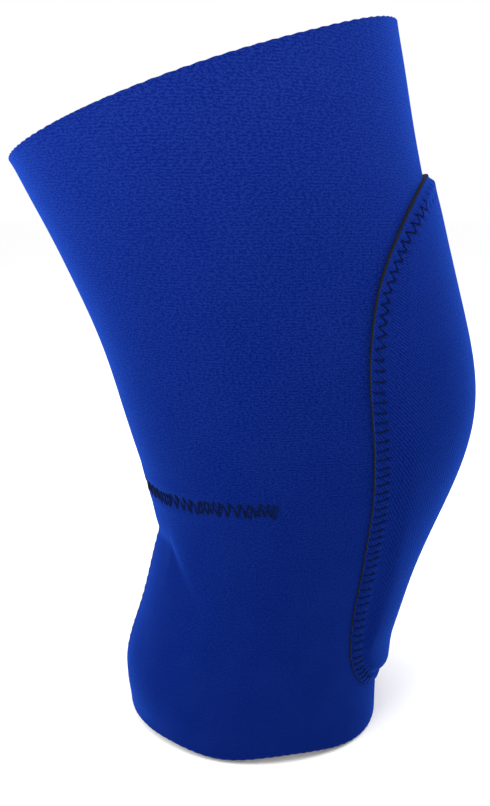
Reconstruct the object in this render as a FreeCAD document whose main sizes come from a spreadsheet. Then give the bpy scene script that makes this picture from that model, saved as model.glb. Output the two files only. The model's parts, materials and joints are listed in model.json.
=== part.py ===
import FreeCAD, Part
import math
import os

# Slip-on knee brace: a pre-bent tube of neoprene laminate with a padded front.
# +X is the front of the knee, +Z is up the leg, and the brace is a mirror image of itself
# about the XZ plane. The origin is the centre of the calf hem, on the plane that the hem stands on.
# The laminate has three plies: an outer jersey, a neoprene core and a lining. Each ply is modelled
# in a thigh, a knee and a calf stretch, because the knee stretch is the part that bends.

V = FreeCAD.Vector
doc = FreeCAD.newDocument("knee_brace")
sheet = doc.addObject("Spreadsheet::Sheet", "Dimensions")

DIMENSIONS = {
    # laminate of the sleeve wall, from the outside in (mm)
    "jersey": 0.5, "core": 2.8, "lining": 0.4,
    # the calf cuff is a true cylinder
    "cuff_radius": 59.5, "cuff_height": 20,
    # pad: play under it, its cover's plies, and its lowest section, which is round
    "pad_play": 0.3, "cover_jersey": 0.5, "cover_core": 1.6, "cover_lining": 0.4,
    "sole_height": 7, "sole_rise": 2, "sole_slide": 1,
    # the foam insert and the seam lie this far inside the cover's edge
    "foam_inset": 8, "seam_inset": 3.8,
    # knee stretch: where it meets its neighbours, on the leg's axis, and the play at the thigh end
    "knee_top": 147.5, "knee_bottom": 77, "knee_bottom_tilt": 10.5, "knee_play": 0.3,
    # stitching
    "thread": 0.5, "seam_width": 5, "seam_pitch": 2.35, "dart_width": 6.5, "dart_pitch": 1.5,
    "dart_start": 96, "dart_end": 176, "dart_height_start": 116, "dart_height_end": 112,
}

# Sections up the leg: centre (x, z), tilt of the section plane in degrees, half depth front to back,
# half width side to side, and how far the pad stands over the front and slides forward there.
SECTIONS = {
    "cuff": (0, 20, 0, 59.5, 59.5, 0, 0),
    "calf": (6, 58, 0, 57.5, 56.5, 8.5, 12),
    "crease": (14.7, 96, 2, 62, 59.6, 8.3, 9.1),
    "knee": (17.5, 134.4, 8, 71.8, 68.9, 9.8, 10.1),
    "thigh": (7.8, 187, 17, 76.1, 74.6, 5.8, 4.7),
    "upper": (-8.4, 240, 21, 80.1, 80.1, 4.4, 3),
    "rim": (-22.4, 278.4, 18.4, 85.5, 85.5, 4.2, 1),
}
FIELDS = ("x", "z", "tilt", "depth", "width", "rise", "slide")

# Pad outline, right half from the top centre to the bottom centre, as (half width, height) on a
# plane 100 mm in front of a point on the leg's axis, from which the outline fans out.
PAD_OUTLINE = [(0, 240), (32, 237), (54, 231.5), (72, 218.5), (80, 197), (79.8, 168), (72.8, 137),
               (63.4, 105), (56, 70), (53.4, 36), (48.6, 16), (33, 11), (0, 12.5)]
FAN_APEX = V(-40, 0, 133)
FAN_PLANE = 100
PAD_MIDDLE = 126

row = 1
for alias, value in DIMENSIONS.items():
    sheet.set("A%d" % row, alias)
    sheet.set("B%d" % row, str(value))
    sheet.setAlias("B%d" % row, alias)
    row += 1
for station, values in SECTIONS.items():
    for field, value in zip(FIELDS, values):
        sheet.set("A%d" % row, station + " " + field)
        sheet.set("B%d" % row, str(value))
        sheet.setAlias("B%d" % row, station + "_" + field)
        row += 1
doc.recompute()


def dim(alias):
    """A driving dimension, read from the sheet."""
    return float(sheet.get(alias))


def bind(obj, **expressions):
    """Bind properties to the sheet; a double underscore stands for a dot."""
    for name, expression in expressions.items():
        obj.setExpression(name.replace("__", "."), expression)
    return obj


def boolean(kind, name, *shapes):
    """A Part boolean of two or more document objects."""
    obj = doc.addObject("Part::" + kind, name)
    if kind.startswith("Multi"):
        obj.Shapes = list(shapes)
    else:
        obj.Base, obj.Tool = shapes
    obj.Refine = False
    return obj


def section(name, station, grow, rise="0", slide="0"):
    """One round or elliptical section, grown outwards, and raised and slid forward for the pad."""
    ref = "Dimensions." + station
    round_one = dim(station + "_depth") == dim(station + "_width")
    obj = doc.addObject("Part::Circle" if round_one else "Part::Ellipse", name)
    obj.Placement = FreeCAD.Placement(V(0, 0, 0), FreeCAD.Rotation(V(0, -1, 0), 0))
    more = f"{grow} + {rise} - {slide}"
    if round_one:
        bind(obj, Radius=f"{ref}_depth + {more}")
    else:
        bind(obj, MajorRadius=f"{ref}_depth + {more}", MinorRadius=f"{ref}_width + {more}")
    return bind(obj, Placement__Base__x=f"{ref}_x + {slide} * cos({ref}_tilt * 1 deg)",
                Placement__Base__z=f"{ref}_z + {slide} * sin({ref}_tilt * 1 deg)",
                Placement__Rotation__Angle=f"{ref}_tilt")


def loft(name, sections):
    obj = doc.addObject("Part::Loft", name)
    obj.Sections = sections
    obj.Solid = True
    obj.Ruled = False
    return obj


def sleeve_form(name, grow):
    """The solid inside one surface of the sleeve: a cylinder at the cuff and a loft above it."""
    cuff = doc.addObject("Part::Cylinder", name + "_cuff")
    bind(cuff, Radius=f"Dimensions.cuff_radius + {grow}", Height="Dimensions.cuff_height")
    leg = loft(name + "_leg", [section(f"{name}_{s}", s, grow) for s in SECTIONS])
    return boolean("Fuse", name, cuff, leg)


def pad_form(name, sink):
    """The solid inside one surface of the pad, which stands proud of the sleeve at the front."""
    sole = doc.addObject("Part::Circle", name + "_sole")
    bind(sole, Radius=f"Dimensions.cuff_radius + Dimensions.sole_rise - Dimensions.sole_slide - {sink}",
         Placement__Base__x="Dimensions.sole_slide", Placement__Base__z="Dimensions.sole_height")
    parts = [sole]
    for s in SECTIONS:
        if s != "cuff":
            ref = "Dimensions." + s
            parts.append(section(f"{name}_{s}", s, f"(0 - {sink})", ref + "_rise", ref + "_slide"))
    return loft(name, parts)


def block(name, low_z, high_z):
    """A wide block between two heights, given as expressions."""
    box = doc.addObject("Part::Box", name)
    box.Length, box.Width = 400, 300
    box.Placement.Base = V(-200, -150, 0)
    return bind(box, Height=f"{high_z} - ({low_z})", Placement__Base__z=low_z)


# ---- surfaces of the sleeve, from the pad's underside inwards
under_pad = sleeve_form("under_pad", "Dimensions.pad_play")
outside = sleeve_form("outside", "0")
under_jersey = sleeve_form("under_jersey", "(0 - Dimensions.jersey)")
under_core = sleeve_form("under_core", "(0 - Dimensions.jersey - Dimensions.core)")
inside = sleeve_form("inside", "(0 - Dimensions.jersey - Dimensions.core - Dimensions.lining)")
plies = {
    "outer_jersey": boolean("Cut", "whole_jersey", outside, under_jersey),
    "neoprene_core": boolean("Cut", "whole_core", under_jersey, under_core),
    "lining": boolean("Cut", "whole_lining", under_core, inside),
}

# ---- the three stretches of the leg
thigh_space = block("thigh_space", "Dimensions.knee_top", "400")
below_knee_top = block("below_knee_top", "(0 - 10)", "Dimensions.knee_top - Dimensions.knee_play")
calf_space = doc.addObject("Part::Box", "calf_space")
calf_space.Length, calf_space.Width, calf_space.Height = 400, 300, 300
calf_space.Placement.Rotation = FreeCAD.Rotation(V(0, -1, 0), 0)
TILT = "(Dimensions.knee_bottom_tilt * 1 deg)"
bind(calf_space, Placement__Rotation__Angle="Dimensions.knee_bottom_tilt",
     Placement__Base__x=f"300 * sin{TILT} - 200 * cos{TILT}", Placement__Base__y="0 - 150",
     Placement__Base__z=f"Dimensions.knee_bottom - 300 * cos{TILT} - 200 * sin{TILT}")
knee_space = boolean("Cut", "knee_space", below_knee_top, calf_space)
spaces = {"thigh": thigh_space, "knee": knee_space, "calf": calf_space}

nodes = []
for ply, whole in plies.items():
    for stretch, space in spaces.items():
        nodes.append(boolean("Common", f"{stretch}_{ply}", whole, space))


# ---- knee pad: a foam insert under a cover of thinner laminate, sewn down round its edge
def pad_ring(inset):
    """The pad's outline on the fan's plane, drawn in towards its middle."""
    half = []
    for y, z in PAD_OUTLINE:
        keep = 1 - inset / math.hypot(y, z - PAD_MIDDLE)
        half.append(V(FAN_APEX.x + FAN_PLANE, y * keep, PAD_MIDDLE + (z - PAD_MIDDLE) * keep))
    curve = Part.BSplineCurve()
    curve.interpolate(Points=half + [V(p.x, -p.y, p.z) for p in reversed(half[1:-1])], PeriodicFlag=True)
    return Part.Wire([curve.toShape()])


def fan(name, inset):
    """The cone that an outline of the pad sweeps, from near the leg's axis to well outside."""
    ends = []
    for reach in (0.3, 1.7):
        matrix = FreeCAD.Matrix()
        matrix.scale(reach, reach, reach)
        matrix.move(FAN_APEX * (1 - reach))
        ends.append(Part.Wire(pad_ring(inset).transformGeometry(matrix).Edges))
    obj = doc.addObject("Part::Feature", name)
    obj.Shape = Part.makeLoft(ends, True, True)
    return obj


cover_fan = fan("cover_fan", 0)
foam_fan = fan("foam_fan", dim("foam_inset"))
SINKS = {
    "pad_top": "0",
    "under_cover_jersey": "Dimensions.cover_jersey",
    "under_cover_core": "(Dimensions.cover_jersey + Dimensions.cover_core)",
    "foam_top": "(Dimensions.cover_jersey + Dimensions.cover_core + Dimensions.cover_lining)",
}
forms = {name: pad_form(name, sink) for name, sink in SINKS.items()}


def pad_ply(name, outer, inner, space):
    """The layer between two forms, trimmed to an outline."""
    trimmed = boolean("Common", name + "_trimmed", outer, space)
    nodes.append(boolean("Cut", name, trimmed, inner))


pad_ply("pad_cover_jersey", forms["pad_top"], forms["under_cover_jersey"], cover_fan)
pad_ply("pad_cover_core", forms["under_cover_jersey"], forms["under_cover_core"], cover_fan)
pad_ply("pad_cover_lining", forms["under_cover_core"], forms["foam_top"], cover_fan)
pad_ply("pad_foam", forms["foam_top"], under_pad, foam_fan)
doc.recompute()


# ---- stitching: each stitch is a short bar of thread laid across its seam
def widest_face(shape):
    return max(shape.Faces, key=lambda face: face.Area)


def surface_hit(face, start, towards):
    """Where a ray first meets a face, with the outward normal there."""
    far = start + (towards - start) * 6
    best = None
    for point in Part.LineSegment(start, far).intersectCS(face.Surface)[0]:
        spot = V(point.X, point.Y, point.Z)
        if best is None or (spot - start).Length < (best - start).Length:
            best = spot
    if best is None:
        return None
    u, v = face.Surface.parameter(best)
    normal = face.Surface.normal(u, v)
    if normal.dot(towards - start) < 0:
        normal = -normal
    return best, normal


def stitch(first, last):
    """A bar of thread between two (point, normal) hits, half sunk in the cloth."""
    size = dim("thread")
    (a, normal_a), (b, normal_b) = first, last
    up = (normal_a + normal_b).normalize()
    along = b - a
    across = along.cross(up).normalize()
    bar = Part.makeBox(along.Length - size, size, size, V(size / 2, -size / 2, -size / 2))
    along.normalize()
    up = across.cross(along)
    frame = FreeCAD.Matrix(along.x, -across.x, up.x, a.x, along.y, -across.y, up.y, a.y,
                           along.z, -across.z, up.z, a.z, 0, 0, 0, 1)
    return bar.transformed(frame)


def zigzag(name, hits):
    """A node of separate stitches through a list of hits."""
    bars = [stitch(a, b) for a, b in zip(hits, hits[1:]) if a and b]
    obj = doc.addObject("Part::Feature", name)
    obj.Shape = Part.makeCompound(bars)
    nodes.append(obj)


def pad_hits():
    """Zigzag points round the pad, on its outer face, from the bottom centre and back to it."""
    wire = pad_ring(dim("seam_inset"))
    count = 2 * round(wire.Length / dim("seam_pitch") / 2)
    spots = wire.discretize(Number=count + 1)
    face = widest_face(forms["pad_top"].Shape)
    hits = []
    for i, spot in enumerate(spots[:-1]):
        tangent = (spots[i + 1] - spots[i - 1 if i else -2]).normalize()
        inward = V(1, 0, 0).cross(tangent)
        side = dim("seam_width") / 2 * (1 if i % 2 else -1)
        hits.append(surface_hit(face, FAN_APEX, spot + inward * side))
    return hits


def leg_face(form):
    """The lofted side face of a sleeve form."""
    return widest_face(form.Shape)


def dart_hits(side):
    """Zigzag points along the dart, from the side of the knee to the back seam."""
    face = leg_face(outside)
    centre_x = (dim("crease_x") + dim("knee_x")) / 2
    radius = dim("crease_depth")
    sweep = math.radians(dim("dart_end") - dim("dart_start"))
    count = int(radius * sweep / dim("dart_pitch"))
    hits = []
    for i in range(count + 1):
        angle = math.radians(dim("dart_start")) + sweep * i / count
        rise = dim("dart_height_end") - dim("dart_height_start")
        height = dim("dart_height_start") + rise * min(1, 2 * i / count)
        height += dim("dart_width") / 2 * (1 if i % 2 else -1)
        start = V(centre_x, 0, height)
        hits.append(surface_hit(face, start, start + V(math.cos(angle), side * math.sin(angle), 0) * 30))
    return hits


def seam_hits(low, high):
    """Zigzag points up the back seam between two heights."""
    face = leg_face(outside)
    count = int((high - low) / dim("seam_pitch"))
    hits = []
    for i in range(count + 1):
        start = V(0, 0, low + (high - low) * i / count)
        aside = dim("seam_width") / 2 * (1 if i % 2 else -1)
        hits.append(surface_hit(face, start, start + V(-60, aside, 0)))
    return hits


back_knee_bottom = dim("knee_bottom") - 50 * math.tan(math.radians(dim("knee_bottom_tilt")))
back_rim = dim("rim_z") - dim("rim_depth") * math.sin(math.radians(dim("rim_tilt")))
zigzag("pad_stitching", pad_hits())
zigzag("dart_stitching_right", dart_hits(-1))
zigzag("dart_stitching_left", dart_hits(1))
zigzag("thigh_back_stitching", seam_hits(dim("knee_top") + 2, back_rim - 3))
zigzag("knee_back_stitching", seam_hits(back_knee_bottom + 2, dim("knee_top") - 2))
zigzag("calf_back_stitching", seam_hits(dim("cuff_height") + 1, back_knee_bottom - 2))

# ---- check every object, then write one file per node
doc.recompute()
os.makedirs("parts", exist_ok=True)
for obj in doc.Objects:
    if {"Invalid", "Error"} & set(obj.State):
        raise SystemExit("failed: " + obj.Name)
for obj in nodes:
    if obj.Shape.isNull() or not obj.Shape.isValid():
        raise SystemExit("not a valid shape: " + obj.Label)
    print(obj.Label, "solids", len(obj.Shape.Solids), "volume", round(obj.Shape.Volume))
    obj.Shape.exportStep("parts/" + obj.Label + ".step")
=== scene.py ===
import json
import math

import bpy
import numpy as np
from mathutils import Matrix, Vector
from mathutils.bvhtree import BVHTree
from mathutils.kdtree import KDTree


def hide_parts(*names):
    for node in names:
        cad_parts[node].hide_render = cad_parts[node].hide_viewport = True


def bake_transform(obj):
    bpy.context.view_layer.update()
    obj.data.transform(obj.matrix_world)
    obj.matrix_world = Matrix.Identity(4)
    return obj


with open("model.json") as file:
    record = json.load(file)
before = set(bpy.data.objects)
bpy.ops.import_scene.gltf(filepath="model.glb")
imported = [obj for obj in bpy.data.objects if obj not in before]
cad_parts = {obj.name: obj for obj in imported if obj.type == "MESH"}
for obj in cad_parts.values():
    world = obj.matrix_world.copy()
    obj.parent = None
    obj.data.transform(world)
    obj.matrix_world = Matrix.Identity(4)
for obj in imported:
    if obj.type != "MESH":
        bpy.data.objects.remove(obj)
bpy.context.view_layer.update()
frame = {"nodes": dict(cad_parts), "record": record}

# Slip-on knee brace. Metres; +X is the front of the knee, +Z up the leg, the origin is the centre of
# the calf hem. A point on the sleeve is named by its angle round the leg, in radians from the front
# and positive towards +Y, and by its height share, from 0 at the calf hem to 1 at the thigh rim.

MM = 0.001

# ---- sizes
JERSEY, CORE, LINING = 0.5 * MM, 2.8 * MM, 0.4 * MM  # plies of the sleeve wall
PLY_GAP = 0.02 * MM
COVER, COVER_JERSEY = 2.35 * MM, 0.45 * MM  # pad cover, and its outer ply
FOAM_START, FOAM_RISE = 6.2 * MM, 5.0 * MM  # where the foam starts inside the edge, and its slope
FOAM_INSET = 8 * MM
THREAD = 0.27 * MM  # radius
PAD_STITCH = 4.3 * MM  # from one zigzag to the next
PAD_STITCH_OUT, PAD_STITCH_IN = 0.5 * MM, 5.8 * MM  # inside the pad's edge
TIP_STITCH = 2.2 * MM  # the seam lies this much further in at the tip
DART_STITCH, DART_HALF = 3.7 * MM, 3.6 * MM
SEAM_STITCH, SEAM_HALF = 4.3 * MM, 2.6 * MM
SCALLOP = 4.3 * MM  # from one scallop of a cut edge to the next
MEAN_RADIUS = 70 * MM  # of the whole sleeve; the next two are where the threads lie
DART_RADIUS, SEAM_RADIUS = 62 * MM, 75 * MM
FOLD_DEPTH = 2.7 * MM  # of the fold behind the knee
HOLE_PIT, THREAD_PIT = 0.45 * MM, 0.12 * MM  # how deep the pad's thread presses the cover

# ---- colours, linear
BLUE_DARK = (0.0007, 0.0078, 0.107)
BLUE_LIGHT = (0.0049, 0.0168, 0.143)
SHEEN_TINT = (0.04, 0.17, 1.0, 1)
NEOPRENE = (0.006, 0.007, 0.0075)
LINING_COLOUR = (0.010, 0.010, 0.011)
THREAD_COLOUR = (0.0022, 0.0056, 0.026)
FOAM_COLOUR = (0.03, 0.03, 0.032)


# ================================================================ the leg's shape, from the frame
rim = next(m for m in frame["record"]["mounts"] if m["name"] == "thigh_cuff")
RIM_CENTRE = np.array(rim["pos_m"])
RIM_TILT = math.atan2(-rim["axis"][0], rim["axis"][2])
LENGTH = float(RIM_CENTRE[2])
BOW = 28 * MM  # how far the leg's axis bows forward between hem and rim
ROUND_TERMS, HEIGHT_TERMS = 5, 13


def tree_of(*names):
    """A ray-casting tree of CAD nodes."""
    verts, faces = [], []
    for name in names:
        mesh = frame["nodes"][name].data
        base = len(verts)
        verts += [v.co.copy() for v in mesh.vertices]
        faces += [[base + i for i in p.vertices] for p in mesh.polygons]
    return BVHTree.FromPolygons(verts, faces)


def ring(share):
    """Centre and forward direction of the leg's section at a height share."""
    share = np.asarray(share, float)
    tilt = RIM_TILT * np.clip(share, 0, 1) ** 1.5
    zero = np.zeros_like(share)
    x = RIM_CENTRE[0] * share + BOW * 4 * share * (1 - share)
    centre = np.stack([x, zero, LENGTH * share], -1)
    return centre, np.stack([np.cos(tilt), zero, np.sin(tilt)], -1)


def spoke(angle, share):
    """Centre of the section, and the direction from it at an angle."""
    centre, forward = ring(share)
    side = np.array([0.0, 1.0, 0.0])
    angle = np.asarray(angle, float)[..., None]
    return centre, forward * np.cos(angle) + side * np.sin(angle)


def basis(angle, share):
    """The smooth functions that the leg's radius is made of."""
    rounds = np.cos(np.asarray(angle)[..., None] * np.arange(ROUND_TERMS))
    heights = np.polynomial.chebyshev.chebvander(2 * np.asarray(share) - 1, HEIGHT_TERMS - 1)
    return rounds, heights.reshape(np.shape(share) + (HEIGHT_TERMS,))


def fit_radius():
    """Measures the CAD sleeve along spokes and fits a smooth radius to it."""
    tree = tree_of("thigh_outer_jersey", "knee_outer_jersey", "calf_outer_jersey")
    angle, share = np.meshgrid(np.linspace(0, math.pi, 25), np.linspace(0.003, 0.997, 60))
    angle, share = angle.ravel(), share.ravel()
    centre, outward = spoke(angle, share)
    reach, found = 0.16, []
    for c, d in zip(centre, outward):
        hit = tree.ray_cast(Vector(c + d * reach), Vector(-d))
        found.append(reach - hit[3] if hit[0] else np.nan)
    found = np.array(found)
    good = found > 30 * MM  # the rest slipped through the gap between two stretches
    rounds, heights = basis(angle[good], share[good])
    terms = np.einsum("nk,nm->nkm", rounds, heights).reshape(good.sum(), -1)
    answer = np.linalg.lstsq(terms, found[good], rcond=None)[0]
    return answer.reshape(ROUND_TERMS, HEIGHT_TERMS)


RADIUS = fit_radius()


def bare(angle, share):
    """A point on the smooth outer face of the sleeve."""
    rounds, heights = basis(angle, share)
    radius = np.einsum("...k,km,...m->...", rounds, RADIUS, heights)
    centre, outward = spoke(angle, share)
    return centre + outward * radius[..., None]


def facing(angle, share):
    """The outward normal there."""
    step = 1e-3
    across = bare(angle + step, share) - bare(angle - step, share)
    share = np.clip(share, step, 1 - step)
    along = bare(angle, share + step) - bare(angle, share - step)
    normal = np.cross(across, along)
    return normal / np.linalg.norm(normal, axis=-1, keepdims=True)


# ================================================================ relief of the cloth
def bell(x, width):
    return np.exp(-((x / width) ** 2))


def crease(x, width):
    """A valley with straight sides and a narrow bottom."""
    return np.exp(-(np.sqrt(x * x + (2.2 * MM) ** 2) - 2.2 * MM) / width)


def ease(x):
    """A step from 0 to 1 with soft ends."""
    x = np.clip(x, 0, 1)
    return x * x * (3 - 2 * x)


def dart_height(behind):
    """Height of the dart's seam, by the angle from the back."""
    return (112 + 4 * ease(behind - 0.5)) * MM


DART_FRONT = math.radians(83)  # the dart ends this far from the back
FOLD_TOP = 87 * MM  # the fold behind the knee, at the back


def relief(angle, share, place):
    """How far the cloth stands off the smooth shape: the fold behind the knee, seams and waves."""
    behind = math.pi - np.abs(angle)
    height = place[..., 2]
    degrees = np.degrees(behind)
    # the soft fold behind the knee drops towards the calf as it runs forward
    off = height - FOLD_TOP + np.clip(degrees - 28, 0, 60) * 0.95 * MM
    fade = 1 - ease((degrees - 18) / 42)
    lift = -FOLD_DEPTH * fade * crease(off, np.where(off > 0, 6 * MM, 9 * MM))
    # the calf's cuff is full at the back, and at the two front corners of the hem
    lift += 2.4 * MM * (1 - ease((degrees - 30) / 60)) * bell(height - 24 * MM, 18 * MM)
    lift += 2.0 * MM * bell(np.degrees(np.abs(angle)) - 40, 26) * bell(height, 12 * MM)
    lift -= 1.0 * MM * bell(np.degrees(angle), 28) * bell(height, 14 * MM)
    # the dart's butted edges sink, and the cloth beside them swells
    beside = height - dart_height(behind)
    dart = 1 - ease((behind - DART_FRONT) / 0.05)
    swell, sink = bell(np.abs(beside) - 5.5 * MM, 2.5 * MM), bell(beside, 1.6 * MM)
    lift += dart * (0.25 * MM * swell - 0.4 * MM * sink)
    # the back seam
    aside = place[..., 1]
    swell, sink = bell(np.abs(aside) - 4.2 * MM, 2.2 * MM), bell(aside, 1.1 * MM)
    lift += bell(behind, 0.35) * (-0.5 * MM * sink + 0.3 * MM * swell)
    # slow unevenness of worn foam
    lift += 0.16 * MM * np.sin(3 * angle + 9 * share) * np.sin(11 * share + 1)
    lift += 0.10 * MM * np.sin(7 * angle - 14 * share + 2)
    return lift


def leg(angle, share, lift=0.0):
    """A point of the cloth, raised by lift along the smooth shape's normal."""
    angle, share = np.broadcast_arrays(np.asarray(angle, float), np.asarray(share, float))
    place = bare(angle, share)
    rise = relief(angle, share, place) + lift
    return place + facing(angle, share) * np.asarray(rise)[..., None]


# ================================================================ meshes
def mesh_object(name, verts, faces, uv=None):
    """A smooth mesh object; uv is one pair in metres per face corner."""
    mesh = bpy.data.meshes.new(name)
    mesh.from_pydata(np.asarray(verts).tolist(), [], [list(f) for f in faces])
    mesh.polygons.foreach_set("use_smooth", [True] * len(mesh.polygons))
    if uv is not None:
        layer = mesh.uv_layers.new(name="flat")
        layer.data.foreach_set("uv", np.asarray(uv, np.float32).ravel())
    mesh.update()
    obj = bpy.data.objects.new(name, mesh)
    bpy.context.scene.collection.objects.link(obj)
    return obj


def grid_faces(rows, columns, wrap_rows):
    """Quads of a grid whose columns close on themselves, and their (row, column) corners."""
    last = rows if wrap_rows else rows - 1
    i, j = np.meshgrid(np.arange(last), np.arange(columns), indexing="ij")
    corner_rows = np.stack([i, i, i + 1, i + 1], -1).reshape(-1, 4)
    corner_cols = np.stack([j, j + 1, j + 1, j], -1).reshape(-1, 4)
    faces = (corner_rows % rows) * columns + corner_cols % columns
    return faces, corner_rows, corner_cols


def torus_mesh(name, rings, column_uv):
    """A closed shell from rings that run up the outside and back down the inside."""
    rows, columns = rings.shape[:2]
    faces, r, c = grid_faces(rows, columns, True)
    column_uv = np.append(column_uv, 2 * column_uv[-1] - column_uv[-2])
    uv = np.stack([column_uv[c], rings[r % rows, c % columns, 2]], -1)
    return mesh_object(name, rings.reshape(-1, 3), faces, uv)


def lens_mesh(name, rings, top, bottom, ring_uv, pole_uv):
    """A closed shell from rings that run out from a top pole and back in to a bottom pole."""
    rows, columns = rings.shape[:2]
    faces, r, c = grid_faces(rows, columns, False)
    faces = faces[:, ::-1].tolist()
    uv = ring_uv[r, c % columns][:, ::-1].reshape(-1, 2).tolist()
    pole_top, pole_bottom = rows * columns, rows * columns + 1
    for j in range(columns):
        k = (j + 1) % columns
        faces.append([pole_top, k, j])
        uv += [pole_uv, ring_uv[0, k], ring_uv[0, j]]
        faces.append([pole_bottom, (rows - 1) * columns + j, (rows - 1) * columns + k])
        uv += [pole_uv, ring_uv[-1, j], ring_uv[-1, k]]
    return mesh_object(name, np.vstack([rings.reshape(-1, 3), top, bottom]), faces, uv)


def tube_along(points, radii, sides=8):
    """Vertices and faces of a round tube with closed ends."""
    points = np.asarray(points)
    along = np.gradient(points, axis=0)
    along /= np.linalg.norm(along, axis=1, keepdims=True)
    up = np.cross(along, [0.31, 0.17, 0.93])
    up /= np.linalg.norm(up, axis=1, keepdims=True)
    side = np.cross(along, up)
    turn = np.arange(sides) * 2 * math.pi / sides
    ring_shape = up[:, None] * np.cos(turn)[:, None] + side[:, None] * np.sin(turn)[:, None]
    verts = points[:, None] + ring_shape * np.asarray(radii)[:, None, None]
    faces, _, _ = grid_faces(len(points), sides, False)
    faces = faces.tolist()
    faces.append(list(range(sides))[::-1])
    faces.append([(len(points) - 1) * sides + i for i in range(sides)])
    return verts.reshape(-1, 3), faces


def threads_object(name, runs):
    """One mesh of many short tubes."""
    verts, faces, uv, base = [], [], [], 0
    for points, radii in runs:
        v, f = tube_along(points, radii)
        length = np.linalg.norm(np.diff(points, axis=0), axis=1).sum()
        verts.append(v)
        for face in f:
            faces.append([base + i for i in face])
            for i in face:
                uv.append((i % 8 / 8, i // 8 / len(points) * length))
        base += len(v)
    return mesh_object(name, np.vstack(verts), faces, uv)


# ================================================================ the sleeve
def edge_ripple(angle, share):
    """Moves the height share near both ends: cut edges are uneven and very slightly scalloped."""
    count = round(2 * math.pi * MEAN_RADIUS / SCALLOP)
    wave = 0.5 + 0.5 * np.sin(count * angle + 1.7 * np.sin(5 * angle) + 3 * np.sin(2 * angle))
    slow = 0.5 + 0.5 * np.sin(3 * angle + 1)
    degrees = np.degrees(np.abs(angle))
    hem = (0.2 * wave + 0.2 * slow + 3.4 * bell(degrees - 76, 26) + 2.8 * ease((degrees - 98) / 35)) * MM
    rim = (0.25 * wave + 0.2 * slow - 1.4 * bell(degrees, 40) + 0.4 * bell(degrees - 60, 20)
           - 0.4 * bell(degrees - 120, 40)) * MM
    return share + hem / LENGTH * np.exp(-share / 0.02) - rim / LENGTH * np.exp(-(1 - share) / 0.02)


def sleeve_ply(name, outer_lift, inner_lift, columns, rows, inner_rows, cut_rows):
    """One ply of the sleeve wall, closed at the hem and the rim by a raw cut."""
    angle = np.linspace(-math.pi, math.pi, columns, endpoint=False)
    ends = np.array([0, 0.0012, 0.003])
    up = np.concatenate([ends, np.linspace(0.006, 0.994, rows), (1 - ends)[::-1]])
    down = np.linspace(1, 0, inner_rows)
    shares, lifts = list(up), [outer_lift] * len(up)
    for k in range(cut_rows):
        depth = (k + 1) / (cut_rows + 1)
        shares.append(1.0)
        lifts.append(outer_lift + (inner_lift - outer_lift) * depth)
    shares += list(down)
    lifts += [inner_lift] * len(down)
    for k in range(cut_rows):
        depth = (k + 1) / (cut_rows + 1)
        shares.append(0.0)
        lifts.append(inner_lift + (outer_lift - inner_lift) * depth)
    shares, lifts = np.array(shares), np.array(lifts)
    grid_angle, grid_share = np.meshgrid(angle, shares)
    moved = edge_ripple(grid_angle, grid_share)
    if cut_rows:
        # the cut foam is rough, and lies a little below its two skins
        at_end = ((shares >= 1) | (shares <= 0))[:, None]
        rough = 0.5 + 0.5 * np.sin(61 * grid_angle + lifts[:, None] * 9e3)
        sunk = (0.15 + 0.12 * rough) * MM / LENGTH
        moved = moved - np.where(at_end, np.where(grid_share > 0.5, sunk, -sunk), 0)
    rings = leg(grid_angle, moved, lifts[:, None])
    rings[..., 2] = np.maximum(rings[..., 2], 0.02 * MM)
    return torus_mesh(name, rings, angle * MEAN_RADIUS)


# ================================================================ the pad's flat pattern
# The pad is drawn on the sleeve laid flat: across is the way round the leg from the front, and
# up is the way up the front from the hem.
FRONT_SHARES = np.linspace(0, 1, 400)
FRONT_LINE = bare(np.zeros(400), FRONT_SHARES)
FRONT_UP = np.concatenate([[0], np.cumsum(np.linalg.norm(np.diff(FRONT_LINE, axis=0), axis=1))])
FRONT_RADIUS = np.linalg.norm(FRONT_LINE - ring(FRONT_SHARES)[0], axis=1)


def to_leg(flat):
    """Angle and height share of points on the flat pattern."""
    share = np.interp(flat[..., 1], FRONT_UP, FRONT_SHARES)
    return flat[..., 0] / np.interp(share, FRONT_SHARES, FRONT_RADIUS), share


# right half of the pad's edge from the tip to the bottom centre, in millimetres of the flat pattern
PAD_OUTLINE = ((0, 253), (33.5, 249.2), (56, 237.5), (74, 218), (83.8, 194), (86.2, 171), (81.2, 145.5),
               (69.2, 114.8), (56, 82), (49, 54), (44.6, 36), (35.5, 24), (20, 18.5), (0, 17))
PAD_MIDDLE = np.array([0, 133 * MM])


def pad_edge():
    """Closed curve round the pad, from the bottom centre, by way of the seen side, to itself."""
    half = np.array(PAD_OUTLINE) * MM
    loop = np.vstack([half[::-1] * [-1, 1], half[1:]])  # bottom, right-hand side, tip, left-hand side
    closed = np.vstack([loop[-2:-1], loop, loop[1:2]])
    part = np.linspace(0, 1, 40, endpoint=False)[:, None]
    curve = []
    for p0, p1, p2, p3 in zip(closed, closed[1:], closed[2:], closed[3:]):
        # Catmull-Rom through p1 and p2, blended over the chord lengths
        bend = (p2 - p0) / (np.linalg.norm(p2 - p1) + np.linalg.norm(p1 - p0)) * np.linalg.norm(p2 - p1)
        out = (p3 - p1) / (np.linalg.norm(p3 - p2) + np.linalg.norm(p2 - p1)) * np.linalg.norm(p2 - p1)
        curve.append(p1 * (1 - 3 * part**2 + 2 * part**3) + p2 * (3 * part**2 - 2 * part**3)
                     + bend * (part - 2 * part**2 + part**3) + out * (part**3 - part**2))
    return np.vstack(curve + [loop[-1:]])


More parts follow.
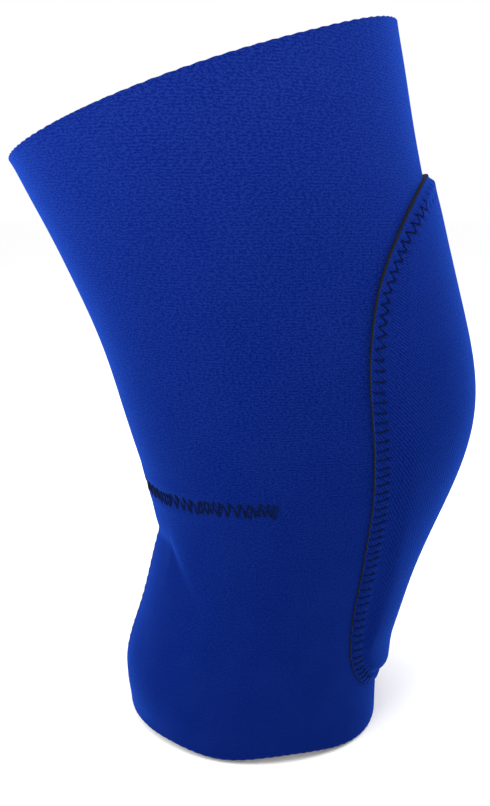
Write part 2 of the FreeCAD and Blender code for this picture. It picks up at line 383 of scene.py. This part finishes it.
EDGE = pad_edge()
EDGE_BEARINGS = np.unwrap(np.arctan2(EDGE[:, 0], EDGE[:, 1] - PAD_MIDDLE[1]))
EDGE_REACH = np.linalg.norm(EDGE - PAD_MIDDLE, axis=1)
EDGE_LENGTH = np.concatenate([[0], np.cumsum(np.linalg.norm(np.diff(EDGE, axis=0), axis=1))])


def edge_point(along, inside):
    """A flat point a distance along the pad's edge, from the bottom centre, and inside it."""
    along = np.asarray(along) % EDGE_LENGTH[-1]
    step = 0.5 * MM
    here, nearby = (np.stack([np.interp(s % EDGE_LENGTH[-1], EDGE_LENGTH, EDGE[:, k])
                              for k in (0, 1)], -1) for s in (along, along + step))
    way = (nearby - here) / np.linalg.norm(nearby - here, axis=-1, keepdims=True)
    inward = np.stack([way[..., 1], -way[..., 0]], -1)
    return here + inward * np.asarray(inside)[..., None]


def edge_distance(flat):
    """How far points of the pad lie inside its edge."""
    out = [np.sqrt(((chunk[:, None] - EDGE[None]) ** 2).sum(-1).min(1))
           for chunk in np.array_split(flat.reshape(-1, 2), 40)]
    return np.concatenate(out).reshape(flat.shape[:-1])


def cad_rise_fit():
    """A smooth fit of how far the CAD pad stands off the sleeve, over the flat pattern."""
    tree = tree_of("pad_cover_jersey")
    bearing, part = np.meshgrid(np.linspace(0, math.pi, 31), np.linspace(0.02, 0.97, 24))
    bearing, part = bearing.ravel(), part.ravel()
    reach = np.interp(bearing, EDGE_BEARINGS, EDGE_REACH)
    flat = PAD_MIDDLE + np.stack([np.sin(bearing), np.cos(bearing)], -1) * (part * reach)[:, None]
    angle, share = to_leg(flat)
    place, normal = bare(angle, share), facing(angle, share)
    far, found = 0.04, []
    for p, n in zip(place, normal):
        hit = tree.ray_cast(Vector(p + n * far), Vector(-n))
        found.append(far - hit[3] if hit[0] and hit[3] < far else np.nan)
    found = np.array(found)
    good = ~np.isnan(found)
    terms = rise_terms(flat[good])
    return np.linalg.lstsq(terms, found[good], rcond=None)[0]


def rise_terms(flat):
    across = (flat[..., 0] / 0.07) ** 2
    up = (flat[..., 1] - PAD_MIDDLE[1]) / 0.13
    heights = np.polynomial.chebyshev.chebvander(up, 9)
    across = across[..., None]
    return np.concatenate([heights, heights * across, heights[..., :5] * across**2], -1)


PAD_RISE = cad_rise_fit()
# the cloth cover rounds the CAD form off: place up the front, width and lift, in millimetres
PAD_TRIM = ((36, 13, -1.3), (112, 40, 1.3), (150, 22, 0.5), (238, 10, 0.3))


def zigzag_points():
    """Needle holes of the pad's seam, outer then inner, on the flat pattern, from the bottom centre."""
    holes, along, k = [], 0.0, 0
    while along < EDGE_LENGTH[-1] - PAD_STITCH / 2:
        from_bottom = min(along, EDGE_LENGTH[-1] - along)
        from_tip = EDGE_LENGTH[-1] / 2 - from_bottom
        upper = float(ease((edge_point(along, 0)[1] - 176 * MM) / (28 * MM)))
        tip = TIP_STITCH * float(bell(from_tip, 45 * MM))
        deep = PAD_STITCH_IN * (1 - 0.32 * float(bell(from_bottom, 85 * MM))) - 0.4 * upper * MM + tip
        sway = 0.25 * MM * math.sin(k * 2.3) + 0.15 * MM * math.sin(k * 5.1)
        slant = (0.85 * upper - 0.35) * PAD_STITCH * (1 if along < EDGE_LENGTH[-1] / 2 else -1)
        holes.append(edge_point(along, PAD_STITCH_OUT + tip + 1.1 * upper * MM + 0.5 * sway))
        holes.append(edge_point(along + slant + sway, deep + sway))
        wider, closer = float(bell(from_tip, 80 * MM)), float(bell(from_bottom, 50 * MM))
        along += PAD_STITCH * (1 + 0.22 * wider - 0.35 * closer)
        k += 1
    return np.array(holes)


PAD_HOLES = zigzag_points()


def smooth_rise(flat):
    """Height of the cover's outer face over the sleeve, without stitch marks."""
    inside, up = edge_distance(flat), flat[..., 1]
    whole = rise_terms(flat) @ PAD_RISE
    for place, width, lift in PAD_TRIM:
        whole += lift * MM * bell(up - place * MM, width * MM)
    whole = np.maximum(whole, COVER + 1.0 * MM)
    # the foam ends steeply at the tip and the bottom, and thins out towards the sides
    ends = ease((np.abs(up - PAD_MIDDLE[1]) - 60 * MM) / (45 * MM))
    tip = ease((up - 215 * MM) / (25 * MM))
    start = FOAM_START * (1 - 0.3 * ends - 0.55 * tip)
    x = (inside - start) / (FOAM_RISE * (2.2 - 1.3 * ends - 0.2 * tip))
    foam = np.sin(0.5 * math.pi * ease(x))
    # the cover's edge is pressed thinner towards the shin
    pressed = 0.8 * MM * (1 - ease((up - 60 * MM) / (130 * MM))) * np.exp(-inside / (1.2 * MM))
    return COVER + (whole - COVER) * foam - pressed, inside


def pits():
    """Places where thread pulls the cover down, with how deep."""
    spots, depths = [], []
    for a, b in zip(PAD_HOLES, np.roll(PAD_HOLES, -1, axis=0)):
        for part in (0, 0.2, 0.4, 0.6, 0.8):
            spots.append(a + (b - a) * part)
            depths.append(HOLE_PIT if part == 0 else THREAD_PIT)
    near = KDTree(len(spots))
    for i, p in enumerate(spots):
        near.insert((p[0], p[1], 0), i)
    near.balance()
    return near, np.array(depths)


def cover_rise(flat):
    """Height of the cover's outer face over the sleeve, with stitch marks and a soft edge."""
    rise, inside = smooth_rise(flat)
    near, depths = pits()
    marks = np.zeros(rise.size)
    points, depth_inside = flat.reshape(-1, 2), inside.ravel()
    for i in np.nonzero(depth_inside < PAD_STITCH_IN + 4 * MM)[0]:
        _, index, far = near.find((points[i, 0], points[i, 1], 0))
        width = 1.2 * MM if depths[index] > THREAD_PIT else 0.6 * MM
        marks[i] = depths[index] * math.exp(-((far / width) ** 2))
    rise = rise - marks.reshape(rise.shape)
    rise -= 0.22 * MM * np.exp(-inside / (0.35 * MM))
    return rise, inside


def pad_shell(name, top, bottom, flat, wall_rows):
    """A closed shell over the flat pattern between two heights; rings run out from the middle."""
    angle, share = to_leg(flat)
    up, down = leg(angle, share, top), leg(angle, share, bottom)
    rows = [up]
    for k in range(wall_rows):
        part = (k + 1) / (wall_rows + 1)
        rows.append((up[-1:] * (1 - part) + down[-1:] * part))
    rows.append(down[::-1])
    rings = np.concatenate(rows)
    flats = np.concatenate([flat] + [flat[-1:]] * wall_rows + [flat[::-1]])
    middle_angle, middle_share = to_leg(PAD_MIDDLE)
    pole_top = leg(middle_angle, middle_share, float(top[0].mean()))
    pole_bottom = leg(middle_angle, middle_share, float(bottom[0].mean()))
    return lens_mesh(name, rings, pole_top, pole_bottom, flats, PAD_MIDDLE)


def pad_flat(parts, bearings, inset):
    """Flat points on rings at shares of the way out to the pad's edge."""
    reach = np.interp(bearings, EDGE_BEARINGS, EDGE_REACH) - inset
    way = np.stack([np.sin(bearings), np.cos(bearings)], -1)
    return PAD_MIDDLE + way[None] * (np.asarray(parts)[:, None] * reach[None])[..., None]


def knee_pad():
    """Cover jersey, cover core and foam insert."""
    lengths = np.linspace(0, EDGE_LENGTH[-1], 960, endpoint=False)
    bearings = np.interp(lengths, EDGE_LENGTH, EDGE_BEARINGS)
    inner = np.linspace(0.04, 0.80, 34)
    margin = np.linspace(0.81, 0.992, 30)
    parts = np.concatenate([inner, margin, [0.996, 0.9985, 1.0]])
    flat = pad_flat(parts, bearings, 0)
    rise, inside = cover_rise(flat)
    jersey = pad_shell("pad_cover_jersey_cloth", rise, rise - COVER_JERSEY, flat, 1)
    core_top = rise - COVER_JERSEY - PLY_GAP
    foam_room = np.maximum(rise - COVER, 0.05 * MM)
    core_low = np.where(inside < FOAM_START, 0.05 * MM, foam_room)
    core = pad_shell("pad_cover_core_foam", core_top, np.minimum(core_low, core_top - 0.3 * MM), flat, 3)
    bearings = bearings[::4]
    foam_flat = pad_flat(np.linspace(0.04, 1, 40), bearings, FOAM_INSET)
    foam_rise, _ = smooth_rise(foam_flat)
    foam_top = np.maximum(foam_rise - COVER - 0.1 * MM, 0.25 * MM)
    foam = pad_shell("pad_foam_insert", foam_top, np.full(foam_top.shape, 0.1 * MM), foam_flat, 1)
    return jersey, core, foam


# ================================================================ threads
def stitch_run(start, end, height, place, sunk=0.0, knot=False):
    """One visible stitch: comes out of a needle hole, lies on the cloth or sinks into it, and goes in."""
    part = np.linspace(0, 1, 9)
    flat = start + (end - start) * part[:, None]
    edge = np.minimum(part, 1 - part) / 0.14
    lift = (0.16 - 0.32 * sunk) * MM - 0.65 * MM * (1 - np.sqrt(np.clip(edge, 0, 1)))
    radii = THREAD * np.where(edge < 0.5, 0.85, 1.0) * (1 - 0.3 * sunk)
    if knot:
        radii[-4:-1] = THREAD * 1.6
    return place(flat, height(flat) + lift), radii


def on_pad(flat, lift):
    angle, share = to_leg(flat)
    return leg(angle, share, lift)


def under_thread(flat):
    """Height of the cover where a thread presses it down."""
    return smooth_rise(flat)[0] - 0.1 * MM


def pad_threads():
    """The legs from the edge lie proud; those back to it sink in, except high up on the pad."""
    runs = []
    for k in range(0, len(PAD_HOLES), 2):
        outer_hole, inner_hole = PAD_HOLES[k], PAD_HOLES[k + 1]
        following = PAD_HOLES[(k + 2) % len(PAD_HOLES)]
        up = inner_hole[1] / MM
        ends = 1.5 * max(float(ease((up - 236) / 8)), float(ease((29 - up) / 6)))
        back = max(0.85 - 0.6 * float(ease((up - 176) / 28)), ends)
        runs.append(stitch_run(outer_hole, inner_hole, under_thread, on_pad, ends, knot=ends < 0.5))
        runs.append(stitch_run(inner_hole, following, under_thread, on_pad, back))
    return threads_object("pad_zigzag_thread", runs)


def share_at(angle, height):
    """Height share at which the sleeve has a height, at an angle."""
    share = np.asarray(height) / LENGTH
    for _ in range(12):
        share = share + (height - bare(angle, share)[..., 2]) / LENGTH * 0.8
    return share


def on_sleeve(points, lift):
    """Points are (angle, height)."""
    angle, height = points[:, 0], points[:, 1]
    return leg(angle, share_at(angle, height), lift)


def flat_height(points):
    return np.zeros(len(points))


def dart_threads(name, side):
    """Two overlapping passes of zigzag along the dart, from the back seam to the side of the knee."""
    runs = []
    radius = DART_RADIUS
    passes = ((DART_STITCH, 1.0, 0.45), (1.17 * DART_STITCH, 0.98, 0.15))
    for sweep, (pitch, reach, slant) in enumerate(passes):
        first = 0.035 + 0.4 * sweep * pitch / radius
        count = int((DART_FRONT * reach - first) * radius / pitch)
        holes = []
        for k in range(count + 1):
            behind = first + k * pitch / radius + 0.007 * math.sin(k * 3.7 + sweep)
            wobble = 0.5 * MM * math.sin(k * 2.1 + sweep)
            middle = float(dart_height(behind)) + 0.3 * MM * math.sin(k * 1.3 + sweep * 2)
            holes.append((behind, middle - DART_HALF + wobble))
            holes.append((behind + slant * pitch / radius, middle + DART_HALF + 0.6 * wobble))
        holes = np.array([(side * (math.pi - b), h) for b, h in holes])
        for k, (a, b) in enumerate(zip(holes, holes[1:])):
            runs.append(stitch_run(a, b, flat_height, on_sleeve, 0.35 + 0.3 * (k % 2), knot=True))
    return threads_object(name, runs)


def seam_threads():
    """Zigzag up the back seam, from hem to rim."""
    low, high = 2 * MM, float(bare(np.array(math.pi), np.array(1.0))[2]) - 2 * MM
    count = int((high - low) / SEAM_STITCH)
    holes = []
    for k in range(count + 1):
        height = low + (high - low) * k / count
        holes.append((math.pi - SEAM_HALF / SEAM_RADIUS, height))
        holes.append((math.pi + SEAM_HALF / SEAM_RADIUS, height + 0.45 * SEAM_STITCH))
    holes = np.array(holes)
    return threads_object("back_seam_thread", [stitch_run(a, b, flat_height, on_sleeve)
                                               for a, b in zip(holes, holes[1:])])


# ================================================================ materials
class Nodes:
    """A short way to wire up a material."""

    def __init__(self, name):
        self.material = bpy.data.materials.new(name)
        self.material.use_nodes = True
        self.tree = self.material.node_tree
        self.shader = self.tree.nodes["Principled BSDF"]

    def add(self, kind, values=(), **settings):
        node = self.tree.nodes.new("ShaderNode" + kind)
        for key, value in settings.items():
            setattr(node, key, value)
        for socket, value in dict(values).items():
            if isinstance(value, bpy.types.NodeSocket):
                self.tree.links.new(value, node.inputs[socket])
            else:
                node.inputs[socket].default_value = value
        return node

    def math(self, operation, a, b):
        return self.add("Math", {0: a, 1: b}, operation=operation).outputs[0]

    def noise(self, place, size, detail=3.0, roughness=0.6):
        """Noise whose blobs are about size metres."""
        values = {"Vector": place, "Scale": 1 / size, "Detail": detail, "Roughness": roughness}
        return self.add("TexNoise", values).outputs["Fac"]

    def bands(self, place, pitch, direction, distortion=0.0, detail_scale=1.0):
        """Soft stripes with a pitch in metres."""
        values = {"Vector": place, "Scale": math.pi / 10 / pitch, "Distortion": distortion,
                  "Detail": 2.0, "Detail Scale": detail_scale}
        node = self.add("TexWave", values, wave_type="BANDS", bands_direction=direction)
        return node.outputs["Fac"]

    def blend_colours(self, factor, low, high):
        values = {0: factor, 6: (*low, 1), 7: (*high, 1)}
        return self.add("Mix", values, data_type="RGBA").outputs[2]

    def bump(self, height, depth, strength):
        values = {"Height": height, "Distance": depth, "Strength": strength}
        normal = self.add("Bump", values).outputs[0]
        self.tree.links.new(normal, self.shader.inputs["Normal"])

    def surface(self, **values):
        for name, value in values.items():
            socket = self.shader.inputs[name.replace("_", " ")]
            if isinstance(value, bpy.types.NodeSocket):
                self.tree.links.new(value, socket)
            else:
                socket.default_value = value


def shaded(colour, share):
    return tuple(share * c for c in colour)


def jersey_material(name, slant, course_pitch, course_depth, shade):
    """Nylon jersey on foam: fine grain, knit courses, and a soft sheen at the edges."""
    n = Nodes(name)
    flat = n.add("UVMap", uv_map="flat").outputs[0]
    turned = n.add("Mapping", {"Vector": flat, "Rotation": (0, 0, slant)}).outputs[0]
    squeezed = n.add("Mapping", {"Vector": turned, "Scale": (0.55, 1, 1)}).outputs[0]
    grain = n.noise(flat, 0.6 * MM, 2.0, 0.65)
    streak = n.noise(squeezed, 0.65 * MM, 2.0, 0.6)
    cloud = n.noise(flat, 22 * MM, 2.0)
    course = n.bands(turned, course_pitch, "Y", 1.5, 400.0)
    # the grain shows more up the thigh, where the cloth is less stretched
    up = n.add("SeparateXYZ", {0: flat}).outputs[1]
    nap = n.add("MapRange", {"Value": up, "From Min": 0.03, "From Max": 0.24, "To Min": 1.0,
                             "To Max": 5.2}).outputs[0]
    speck = n.math("ADD", n.math("SUBTRACT", grain, 0.5), n.math("SUBTRACT", streak, 0.5))
    weave = n.math("MULTIPLY", n.math("SUBTRACT", course, 0.5), course_depth)
    tone = n.math("MULTIPLY", n.math("ADD", speck, weave), nap)
    tone = n.math("ADD", tone, n.math("MULTIPLY", cloud, 0.5))
    tone = n.math("ADD", tone, 0.25)
    colour = n.blend_colours(tone, BLUE_DARK, BLUE_LIGHT)
    # painted light: higher up the thigh the colour is made brighter and a little greyer, standing in for
    # the stronger light and sheen that fall there
    rise = n.add("MapRange", {"Value": up, "From Min": 0.06, "From Max": 0.275}).outputs[0]
    painted_light_ramp = n.math("POWER", rise, 2.0)
    painted_light_value = n.math("ADD", n.math("MULTIPLY", painted_light_ramp, 0.55), shade)
    full = n.math("SUBTRACT", 1.0, n.math("MULTIPLY", painted_light_ramp, 0.011))
    colour = n.add("HueSaturation", {"Color": colour, "Value": painted_light_value, "Saturation": full}).outputs[0]
    height = n.math("ADD", n.math("MULTIPLY", course, 0.5), n.math("ADD", grain, streak))
    n.bump(height, 0.12 * MM, 0.6)
    n.surface(Base_Color=colour, Roughness=0.62, Specular_IOR_Level=0.0, Sheen_Weight=0.55,
              Sheen_Roughness=0.35, Sheen_Tint=SHEEN_TINT)
    return n.material


def foam_material(name, colour, pore, depth):
    """Cut closed-cell foam: matt, with fine open pores."""
    n = Nodes(name)
    place = n.add("TexCoord").outputs["Object"]
    cells = n.add("TexVoronoi", {"Vector": place, "Scale": 1 / pore}).outputs["Distance"]
    dust = n.noise(place, 1.2 * MM, 4.0, 0.7)
    shade = n.math("ADD", n.math("MULTIPLY", cells, 0.5), n.math("MULTIPLY", dust, 0.6))
    colour_out = n.blend_colours(shade, shaded(colour, 0.6), shaded(colour, 1.9))
    n.bump(cells, depth, 0.7)
    n.surface(Base_Color=colour_out, Roughness=0.9, Specular_IOR_Level=0.15)
    return n.material


def lining_material():
    """Black polyester jersey against the skin."""
    n = Nodes("lining_jersey")
    flat = n.add("UVMap", uv_map="flat").outputs[0]
    wale = n.bands(flat, 0.9 * MM, "X", 0.8, 300.0)
    course = n.bands(flat, 0.7 * MM, "Y", 0.8, 300.0)
    grain = n.noise(flat, 0.8 * MM, 3.0, 0.7)
    knit = n.math("ADD", n.math("MULTIPLY", wale, 0.5), n.math("MULTIPLY", course, 0.3))
    knit = n.math("ADD", knit, n.math("MULTIPLY", grain, 0.4))
    colour = n.blend_colours(knit, shaded(LINING_COLOUR, 0.6), shaded(LINING_COLOUR, 1.6))
    n.bump(knit, 0.15 * MM, 0.7)
    n.surface(Base_Color=colour, Roughness=0.8, Specular_IOR_Level=0.15, Sheen_Weight=0.25,
              Sheen_Roughness=0.4)
    return n.material


def thread_material():
    """Twisted polyester thread."""
    n = Nodes("thread")
    flat = n.add("UVMap", uv_map="flat").outputs[0]
    # one turn of u is once round the thread, so this slants the strands
    turn = {"Vector": flat, "Scale": (0.9 * MM, 1, 1), "Rotation": (0, 0, 0.8)}
    strand = n.bands(n.add("Mapping", turn).outputs[0], 0.45 * MM, "X", 0.4, 200.0)
    colour = n.blend_colours(strand, shaded(THREAD_COLOUR, 0.6), shaded(THREAD_COLOUR, 1.8))
    n.bump(strand, 0.08 * MM, 0.8)
    n.surface(Base_Color=colour, Roughness=0.75, Specular_IOR_Level=0.01)
    return n.material


SLEEVE_CLOTH = jersey_material("sleeve_jersey", 0.0, 1.1 * MM, 0.1, 0.75)
PAD_CLOTH = jersey_material("pad_jersey", math.radians(48), 1.05 * MM, 0.32, 0.73)
NEOPRENE_CUT = foam_material("neoprene", NEOPRENE, 0.35 * MM, 0.1 * MM)
PAD_FOAM = foam_material("pad_foam", FOAM_COLOUR, 0.6 * MM, 0.15 * MM)
LINING_CLOTH = lining_material()
THREAD_BLACK = thread_material()


def finish_piece(obj, material, nodes):
    """Gives a piece its cloth and hides the CAD nodes that it replaces."""
    obj.data.materials.append(material)
    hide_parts(*nodes)
    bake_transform(obj)


def stretches(ply):
    return [f"{part}_{ply}" for part in ("thigh", "knee", "calf")]


outer = sleeve_ply("sleeve_outer_jersey", 0, -JERSEY, 480, 300, 150, 0)
finish_piece(outer, SLEEVE_CLOTH, stretches("outer_jersey"))
core = sleeve_ply("sleeve_neoprene_core", -JERSEY - PLY_GAP, -JERSEY - CORE, 300, 150, 150, 5)
finish_piece(core, NEOPRENE_CUT, stretches("neoprene_core"))
lining = sleeve_ply("sleeve_lining", -JERSEY - CORE - PLY_GAP, -JERSEY - CORE - LINING, 300, 150, 200, 0)
finish_piece(lining, LINING_CLOTH, stretches("lining"))

cover_jersey, cover_core, foam = knee_pad()
finish_piece(cover_jersey, PAD_CLOTH, ["pad_cover_jersey"])
finish_piece(cover_core, NEOPRENE_CUT, ["pad_cover_core", "pad_cover_lining"])
finish_piece(foam, PAD_FOAM, ["pad_foam"])

finish_piece(pad_threads(), THREAD_BLACK, ["pad_stitching"])
finish_piece(dart_threads("dart_thread_right", -1), THREAD_BLACK, ["dart_stitching_right"])
finish_piece(dart_threads("dart_thread_left", 1), THREAD_BLACK, ["dart_stitching_left"])
finish_piece(seam_threads(), THREAD_BLACK, stretches("back_stitching"))


# ================================================================ floor, light and camera
FLOOR_HALF = 40.0  # metres, so that its far edge lies at the horizon
SENSOR, LENS = 36, 38.16  # millimetres
EYE = (-4.24 * MM, -384 * MM, 229.6 * MM)
LOOK_DOWN = 12.33  # degrees


def area_light(name, place, target, size, power):
    data = bpy.data.lights.new(name, "AREA")
    data.shape = "RECTANGLE"
    data.size, data.size_y = size
    data.energy = power
    obj = bpy.data.objects.new(name, data)
    obj.location = place
    obj.rotation_euler = (Vector(target) - Vector(place)).to_track_quat("-Z", "Y").to_euler()
    bpy.context.scene.collection.objects.link(obj)


def pale_floor():
    half = FLOOR_HALF
    corners = [(-half, -half, 0), (half, -half, 0), (half, half, 0), (-half, half, 0)]
    floor = mesh_object("floor", np.array(corners) - [0, 0, 0.4 * MM], [(0, 1, 2, 3)])
    n = Nodes("floor_paint")
    place = n.add("TexCoord").outputs["Object"]
    cloud = n.noise(place, 0.5, 2.0)
    n.surface(Base_Color=n.blend_colours(cloud, (0.98, 0.98, 0.982), (0.99, 0.99, 0.99)), Roughness=0.8)
    floor.data.materials.append(n.material)


def studio():
    scene = bpy.context.scene
    scene.view_settings.view_transform = "Standard"
    world = bpy.data.worlds.new("studio")
    world.use_nodes = True
    world.node_tree.nodes["Background"].inputs[0].default_value = (1.0, 1.0, 1.0, 1)
    world.node_tree.nodes["Background"].inputs[1].default_value = 1.0
    scene.world = world
    middle = (0, 0, 0.15)
    area_light("key_softbox", (-0.6, -0.5, 0.7), (-0.03, 0, 0.22), (0.8, 0.8), 5.5)
    area_light("left_softbox", (-1.3, 0.1, 0.5), middle, (1.2, 1.4), 14)
    area_light("right_softbox", (1.2, 0.1, 0.2), middle, (1.2, 1.2), 8)
    area_light("top_softbox", (0.3, -0.3, 1.4), middle, (1.4, 1.4), 9)


def camera():
    """Close to the brace, level with its upper half and looking slightly down."""
    data = bpy.data.cameras.new("camera")
    data.sensor_width = SENSOR
    data.lens = LENS
    data.clip_start = 0.01
    obj = bpy.data.objects.new("camera", data)
    obj.location = EYE
    obj.rotation_euler = (math.radians(90 - LOOK_DOWN), 0, 0)
    bpy.context.scene.collection.objects.link(obj)
    bpy.context.scene.camera = obj


pale_floor()
studio()
camera()
